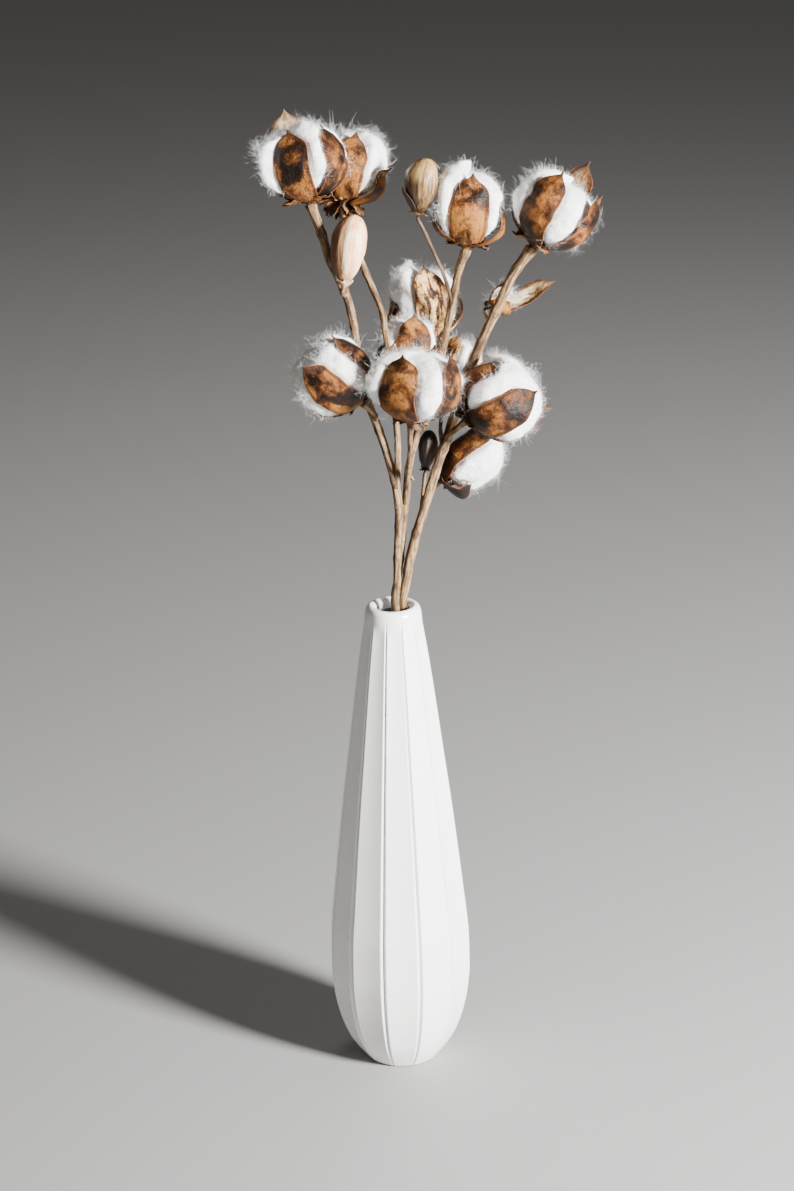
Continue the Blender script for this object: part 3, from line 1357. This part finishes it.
@dataclass
class Wisp:
    """A wisp of lint caught in the root of the empty burr."""

    head: Head
    strands: int = 420
    drift: tuple = (-0.95, 0.0, 0.0)  # which way its fibres are blown

    def build(self, material: bpy.types.Material) -> bpy.types.Object:
        """Makes the wisp.

        Args:
            material: Its finish.

        Returns:
            The piece.
        """
        head = self.head
        share = (1 - np.cos(np.linspace(0, math.pi, 24))) / 2
        angle = np.linspace(0, math.tau, 28, endpoint=False)
        out = head.radius * 0.30 * np.sin(math.pi * share)[:, None] * (1 - 0.4 * share)[:, None] * np.ones(28)
        height = ((0.12 + 0.30 * share) * head.length)[:, None] * np.ones(28)
        points = np.stack([out * np.sin(angle), -out * np.cos(angle), height], -1)
        points = points + unit(points - (0, 0, head.length * 0.27)) * (0.6 * rough(points, 2.5, 3))[..., None]
        marks = np.zeros((24, 28, 4))
        marks[..., :2] = (0.5, 0.75)
        draft = MeshDraft()
        draft.add(points, grid_faces(24, 28, True), points, marks)
        chance = np.random.default_rng(11)
        picked = chance.integers(0, 24 * 28, self.strands)
        way = unit(grid_normals(points, True).reshape(-1, 3)[picked] + np.array(self.drift))
        lengths = chance.uniform(4, 13, self.strands)
        lifts = chance.uniform(0.3, 0.95, self.strands)
        roots = points.reshape(-1, 3)[picked]
        Fibres(11, steps=5, curl=0.5).add(draft, roots, way, lengths, lifts, marks.reshape(-1, 4)[picked])
        draft.points = [part * MM for part in draft.points]
        draft.grains = [part * MM for part in draft.grains]
        draft.place(head.place())
        return draft.build("caught_wisp", material)


@dataclass
class Pod:
    """A closed boll: a furrowed, ribbed egg on a small calyx, with a tip that leans over."""

    name: str
    head: Head
    foot_growth: float = 0.75
    top_growth: float = 0.5
    furrow: float = 0.10
    tip: float = 0.75
    sepal: float = 0.0  # the length of a sepal that clasps its left side, as a share of its own
    rows: int = 60
    columns: int = 84

    def skin(self, share: np.ndarray, turn: np.ndarray, lift: float = 0) -> tuple[np.ndarray, ...]:
        """Places on its skin, in mm.

        Args:
            share: How far each is up the pod.
            turn: How far each is round it, in radians.
            lift: How far above the skin they lie.

        Returns:
            The places, their grain and how deep in a furrow each lies.
        """
        head = self.head
        widest = self.foot_growth / (self.foot_growth + self.top_growth)
        fullest = widest**self.foot_growth * (1 - widest) ** self.top_growth
        girth = share**self.foot_growth * (1 - share) ** self.top_growth / fullest
        wave = 0.5 + 0.5 * np.cos(head.carpels * turn - math.radians(head.turn))
        size = head.radius * girth * (1 - self.furrow * wave**3)
        height = share * head.length
        hook = head.opening * np.clip(share - self.tip, 0, 1) / (1 - self.tip)
        grain = np.stack([size * np.sin(turn), size * np.cos(turn) + Burr(self.name, head).seed(), height], -1)
        size = size * (1 + 0.03 * rough(grain, 5, 2)) + 0.16 * rough(grain * (1, 1, 0.12), 0.9, 3) * girth
        size = size + lift
        return np.stack([size * np.sin(turn) + hook, -size * np.cos(turn), height], -1), grain, wave

    def add_sepal(self, draft: MeshDraft) -> None:
        """Adds a dry sepal that clasps its left side, and a horn that curls over its tip."""
        head = self.head
        along = np.linspace(0, 1, 22)[:, None] * np.ones(13)
        across = np.ones((22, 1)) * np.linspace(-1, 1, 13)
        turn = math.radians(-62) + math.radians(46) * across * (1 - along**2.2) ** 0.8
        lift = 0.6 + 1.3 * along**3 + 0.25 * across**2
        points, grain, wave = self.skin(0.03 + self.sepal * along * (1 - 0.15 * np.abs(across)), turn, lift)
        marks = np.stack([0.1 + 0 * along, 0.5 * np.abs(across), 0 * along, 0 * along], -1)
        draft.add_shell(points * MM, np.full(along.shape, 0.4) * MM, grain * MM, marks)
        t = np.linspace(0, 1, 12)[:, None]
        x = head.radius * (0.74 - 0.42 * t) + head.opening
        route = np.hstack([x, -0.8 + 0 * t, head.length * (0.84 + 0.20 * t - 0.04 * t**2)])
        angle = np.linspace(0, math.tau, 7)[:-1]
        ring = np.stack([np.cos(angle), np.sin(angle), 0.5 * np.cos(angle)], -1)
        horn = route[:, None] + ring * (0.62 * (1 - t**2) + 0.08)[..., None]
        draft.add(horn * MM, grid_faces(12, 6, True), horn * MM, np.full((12, 6, 4), 0.1))

    def build(self, material: bpy.types.Material) -> bpy.types.Object:
        """Makes the pod.

        Args:
            material: Its finish.

        Returns:
            The piece.
        """
        burr = Burr(self.name, self.head)
        share = (1 - np.cos(np.linspace(0, math.pi, self.rows)))[:, None] / 2 * np.ones(self.columns)
        turn = np.linspace(0, math.tau, self.columns, endpoint=False) * np.ones((self.rows, 1))
        points, grain, wave = self.skin(share, turn)
        side = 0.5 - 0.5 * np.cos(turn + math.pi / 2)
        marks = np.stack([share, wave**6 * 0.95, np.zeros_like(share), side], -1)
        draft = MeshDraft()
        draft.add(points * MM, grid_faces(self.rows, self.columns, True), grain * MM, marks)
        if self.sepal:
            self.add_sepal(draft)
        burr.add_calyx(draft)
        chances = random.Random(self.name)
        for index in range(5):
            turn_to = math.tau * (index + chances.uniform(-0.2, 0.2)) / 5
            burr.add_bract(draft, turn_to, chances.uniform(0.8, 1.3), chances.uniform(0.4, 1.3), chances.random())
        draft.place(self.head.place())
        return draft.build(self.name + "_husk", material)


# ---------------------------------------------------------------- stems


@dataclass(frozen=True)
class Twig:
    """A stretch of wood: its route (mm), its radii at both ends (mm) and the head that it carries."""

    route: tuple
    start_radius: float
    end_radius: float
    carries: str = ""
    darkness: float = 0.0  # how much of its bark is stained brown


STEMS = {
    "stem_left": (
        Twig(((-1.3, -7.6, 100), (-0.2, -6.3, 180), (1.1, -4.0, 250), (1.5, -3.3, 280), (2.6, -2.8, 295),
              (3.7, -1.9, 317), (4.3, -1.0, 330), (4.0, -0.4, 338), (3.1, 0.2, 347), (1.0, 1.0, 357),
              (-1.6, 2.2, 367), (-6, 4.0, 381), (-10.6, 6.5, 394), (-13.6, 8.0, 411), (-16.4, 7.0, 430),
              (-20.2, 4.5, 451), (-25.3, 3.0, 465.5), (-29.4, 2.0, 475), (-32.8, 1.0, 488)), 2.05, 2.3, "01"),
        Twig(((3.1, 0.2, 347), (4.1, -0.6, 357), (4.4, -1.5, 368), (4.0, -3.0, 384), (2.6, -5.0, 405),
              (0.3, -5.0, 427), (-1.0, -3.0, 438), (-2.6, 2.0, 447), (-7.0, 9.0, 456.5), (-12.1, 16.0, 468),
              (-17.7, 24, 482.5)), 1.75, 1.7, "02"),
        Twig(((-21.6, 3.9, 455.5), (-23.2, -3, 458)), 1.2, 1.0, "pod_left"),
        Twig(((-7.6, 4.8, 386), (-7.0, -2, 389), (-8.6, -8.5, 394)), 1.3, 1.4, "04"),
    ),
    "stem_middle": (
        Twig(((1.0, 8.0, 100), (0.9, 6.8, 180), (0.8, 5.3, 250), (0.8, 4.8, 280), (3.0, 5.0, 293),
              (4.8, 5.4, 305), (6.9, 6.8, 327), (8.8, 8.2, 343), (9.9, 9.4, 354), (13.4, 12, 368.5),
              (18.0, 15.5, 382), (24.6, 22, 398), (30.0, 29.5, 415.5), (33.6, 28.5, 433.5), (36.6, 21.5, 451),
              (39.9, 15.8, 467)), 1.85, 2.1, "03"),
        Twig(((8.0, 7.6, 336), (9.5, -2, 352), (10.5, -14, 368), (11.1, -26, 381)), 1.3, 1.3, "08"),
        Twig(((9.8, 9.3, 353), (12.0, 7.6, 351), (13.4, 6.8, 349.5)), 1.3, 0.5),
        Twig(((18.0, 15.5, 382), (14.0, 14.5, 392)), 1.2, 1.2, "09"),
        Twig(((30.6, 29.4, 418.5), (27.9, 40, 412.9)), 1.2, 1.2, "10"),
        Twig(((35.5, 23.2, 445), (31.8, 17, 460), (25.4, 12, 477), (20.0, 10.4, 490)), 0.95, 0.85, "pod_middle",
             darkness=1.2),
    ),
    "stem_right": (
        Twig(((1.0, -2.0, 100), (2.5, -1.0, 180), (4.4, 0.5, 250), (5.3, 1.2, 280), (7.6, 1.5, 292),
              (10.2, 2.4, 306), (16.3, 5.4, 327), (21.5, 8.6, 343), (27.6, 12, 361), (32.7, 15.2, 374),
              (36.4, 17.2, 385), (41.8, 18.7, 400), (50.2, 17.9, 422), (59.6, 16.5, 443), (67.6, 15, 461)),
             2.6, 2.6, "05"),
        Twig(((30.9, 14.1, 369.5), (34.0, 8, 376)), 1.5, 1.5, "06"),
        Twig(((18.9, 7.0, 335), (21.0, 14, 338.5)), 1.4, 1.3, "07"),
        Twig(((15.5, 5.0, 324.5), (17.2, 13, 334)), 1.1, 0.9, "pod_low"),
        Twig(((29.2, 13.0, 365), (28.3, 20, 375), (29.5, 29, 384)), 1.1, 1.0, "11"),
        Twig(((56.0, 17.2, 436), (54.2, 25, 437)), 1.1, 1.0, "empty"),
    ),
}


@dataclass
class Stem:
    """A dried stem with its twigs: knotty, ribbed along its length and thicker at each joint."""

    name: str
    twigs: tuple
    sides: int = 16
    spacing: float = 1.1
    neck: float = 2.5
    knots: tuple = (17, 34)  # mm between two knots

    def route(self, twig: Twig) -> np.ndarray:
        """A twig's route, which ends square to the underside of its head."""
        if not twig.carries:
            return bend_route(twig.route, self.spacing)
        head = HEADS[twig.carries]
        foot, up = np.array(head.foot), np.array(head.axis())
        return bend_route([*twig.route, foot - self.neck * up, foot - GAP * up], self.spacing)

    def head_flare(self, twig: Twig) -> float:
        """How much thicker a twig grows towards what it carries."""
        return 0.025 * HEADS[twig.carries].radius if twig.carries else 0

    def knot_places(self, length: float, chance: random.Random) -> Iterator[float]:
        """Where a twig's knots lie along it."""
        place = chance.uniform(6, 14)
        while place < length - 6:
            yield place
            place += chance.uniform(*self.knots)

    def add_twig(self, draft: MeshDraft, twig: Twig, seed: int, main: bool) -> None:
        """Adds one twig.

        Args:
            draft: What it is added to, in mm.
            twig: Which one.
            seed: A number of its own for its noise.
            main: Whether it is the stem itself.
        """
        chance = random.Random(f"{self.name}_{seed}")
        route = self.route(twig)
        reach = np.concatenate([[0], np.cumsum(np.linalg.norm(np.diff(route, axis=0), axis=1))])
        share = reach / reach[-1]
        radii = twig.start_radius + (twig.end_radius - twig.start_radius) * share
        joint = np.zeros(len(route))
        for place in self.knot_places(reach[-1], chance):
            joint += chance.uniform(0.5, 1.0) * np.exp(-(((reach - place) / 1.7) ** 2))
        collar = 0 if main else 0.55 * np.exp(-reach / 3.0)
        flare = self.head_flare(twig) * np.exp(-(reach[-1] - reach) / 4.5)
        radii = radii * (1 + 0.16 * joint + collar + flare)
        way = unit(np.gradient(route, axis=0))
        side = unit(np.cross(way[0], (0.2, 0.9, 0.1)))
        angle = np.linspace(0, math.tau, self.sides, endpoint=False)
        points, grain = [], []
        for place, forward, radius, far in zip(route, way, radii, reach):
            side = unit(side - forward * np.dot(side, forward))
            other = np.cross(forward, side)
            ring = np.cos(angle)[:, None] * side + np.sin(angle)[:, None] * other
            ribs = 0.06 * np.cos(5 * angle + far / 17) + 0.03 * np.cos(8 * angle - far / 11)
            points.append(place + ring * (radius * (1 + ribs))[:, None])
            around = np.stack([np.cos(angle), np.sin(angle)], -1) * radius
            grain.append(np.column_stack([around, np.full(self.sides, far + 900 * seed)]))
        points, grain = np.array(points), np.array(grain)
        out = unit(points - route[:, None])
        points = points + out * (0.16 * rough(grain * (1, 1, 0.3), 1.4, seed) + 0.10 * rough(points, 5, 9))[..., None]
        points[0] = route[0]
        points[-1] = route[-1] + 0.2 * (points[-1] - route[-1])
        tone = np.broadcast_to(np.clip(joint, 0, 1)[:, None] + twig.darkness, points.shape[:2])
        far = np.broadcast_to(share[:, None], points.shape[:2])
        marks = np.stack([far, tone * 0.7, np.zeros_like(far), np.full_like(far, chance.random())], -1)
        draft.add(points * MM, grid_faces(len(route), self.sides, True), grain * MM, marks)

    def build(self, material: bpy.types.Material) -> bpy.types.Object:
        """Makes the stem.

        Args:
            material: Its bark.

        Returns:
            The piece.
        """
        draft = MeshDraft()
        for index, twig in enumerate(self.twigs):
            self.add_twig(draft, twig, index, index == 0)
        return draft.build(self.name + "_bark", material)


# ---------------------------------------------------------------- studio


@dataclass
class Studio:
    """A pale floor, soft lamps and the camera."""

    centre: Vector
    reach: float
    lens: float = 85
    eye: tuple = (0.0024, -1.459, 0.8305)
    down: float = 20.5  # degrees below level
    roll: float = -1.2
    lamps: tuple = (
        ("key", 51, 18, 1.5, 0.30, 170),
        ("fill", -60, 35, 1.8, 1.2, 2.5),
        ("rim", 160, 50, 1.7, 0.7, 5),
    )  # name, degrees round from the front to the right, degrees up, distance, width, power

    def build(self, floor_material: bpy.types.Material) -> None:
        """Makes the floor, the lamps, the sky and the camera.

        Args:
            floor_material: The floor's finish.
        """
        mesh = bpy.data.meshes.new("floor")
        far = 14 * self.reach
        mesh.from_pydata([(-far, -far, 0), (far, -far, 0), (far, far, 0), (-far, far, 0)], [], [(0, 1, 2, 3)])
        mesh.materials.append(floor_material)
        floor = bpy.data.objects.new("floor", mesh)
        bpy.context.scene.collection.objects.link(floor)
        floor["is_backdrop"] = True
        for name, turn, rise, distance, width, power in self.lamps:
            self.add_lamp(name, math.radians(turn), math.radians(rise), distance, width, power)
        world = bpy.data.worlds.new("soft_sky")
        world.use_nodes = True
        world.node_tree.nodes["Background"].inputs["Color"].default_value = (1.0, 0.93, 0.85, 1)
        world.node_tree.nodes["Background"].inputs["Strength"].default_value = 0.10
        bpy.context.scene.world = world
        self.add_camera()

    def add_lamp(self, name: str, turn: float, rise: float, distance: float, width: float, power: float) -> None:
        """Adds a soft lamp that shines on the middle of the object.

        Args:
            name: Its name.
            turn: Radians round from the front towards the right.
            rise: Radians above level.
            distance: Metres from the middle.
            width: Its width in metres.
            power: Its power in watts.
        """
        light = bpy.data.lights.new(name, "AREA")
        light.shape = "DISK"
        light.size = width
        light.energy = power
        lamp = bpy.data.objects.new(name, light)
        way = Vector((math.sin(turn) * math.cos(rise), -math.cos(turn) * math.cos(rise), math.sin(rise)))
        lamp.location = self.centre + way * distance
        lamp.rotation_euler = way.to_track_quat("Z", "Y").to_euler()
        bpy.context.scene.collection.objects.link(lamp)

    def add_camera(self) -> None:
        """Adds the camera at the chosen viewing angle."""
        data = bpy.data.cameras.new("camera")
        data.lens = self.lens
        camera = bpy.data.objects.new("camera", data)
        tilt = Matrix.Rotation(math.radians(90 - self.down), 4, "X")
        turn = Matrix.Rotation(math.radians(self.roll), 4, "Z")
        camera.matrix_world = Matrix.Translation(self.eye) @ tilt @ turn
        bpy.context.scene.collection.objects.link(camera)
        bpy.context.scene.camera = camera


def main() -> None:
    """Builds and dresses every piece."""
    logging.basicConfig(level=logging.INFO, format="%(name)s: %(message)s")
    low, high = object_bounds()
    effects = Effects.make()
    husk = HuskFinish().make(effects)
    striped = HuskFinish("striped_husk", brown=(0.12, 0.040, 0.008), golden=(0.40, 0.18, 0.045),
                         tan=(0.80, 0.54, 0.26), streaked=0.38, smoke=0.22).make(effects)
    pale_pod = PodFinish("pale_pod_husk", (0.92, 0.68, 0.42), (0.72, 0.38, 0.17), (0.075, 0.0165, 0.0035),
                         (0.45, 0.19, 0.08), side_start=0.36).make(effects)
    brown_pod = PodFinish("brown_pod_husk", (0.40, 0.24, 0.085), (0.085, 0.036, 0.009), (0.016, 0.0065, 0.0025),
                          (0.02, 0.009, 0.004), side_start=0.50, top_share=0.75, fineness=620.0,
                          foot_reach=0.78).make(effects)
    dark_pod = PodFinish("dark_pod_husk", (0.07, 0.028, 0.010), (0.03, 0.012, 0.005), (0.007, 0.003, 0.002),
                         (0.005, 0.0025, 0.0015), side_start=0.6).make(effects)
    lint = LintFinish().make(effects)
    bark = BarkFinish().make(effects)
    Studio((low + high) / 2, (high - low).length).build(FloorFinish().make(effects))
    dress(Vase().build(GlazeFinish().make(effects)), "vase", Slot.GLAZE)
    dress(FoamPlug().build(FoamFinish().make(effects)), "foam_plug", Slot.FOAM)
    for name, twigs in STEMS.items():
        dress(Stem(name, twigs).build(bark), name, Slot.BARK)
    for number in [name for name in HEADS if name.isdigit()]:
        finish = striped if number in ("10", "11") else husk
        dress(Burr("burr_" + number, HEADS[number]).build(finish), "burr_" + number, Slot.HUSK)
        dress(Lint("lint_" + number, HEADS[number]).build(lint), "lint_" + number, Slot.LINT)
    dress(Pod("pod_left", HEADS["pod_left"]).build(pale_pod), "pod_left", Slot.PALE_HUSK)
    dress(Pod("pod_middle", HEADS["pod_middle"], furrow=0.05, sepal=0.5).build(brown_pod), "pod_middle", Slot.HUSK)
    dress(Pod("pod_low", HEADS["pod_low"]).build(dark_pod), "pod_low", Slot.HUSK)
    dress(Burr("burr_empty", HEADS["empty"]).build(husk), "burr_empty", Slot.HUSK)
    dress(Wisp(HEADS["empty"]).build(lint), "lint_wisp", Slot.LINT)
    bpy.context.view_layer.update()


if __name__ == "__main__":
    main()
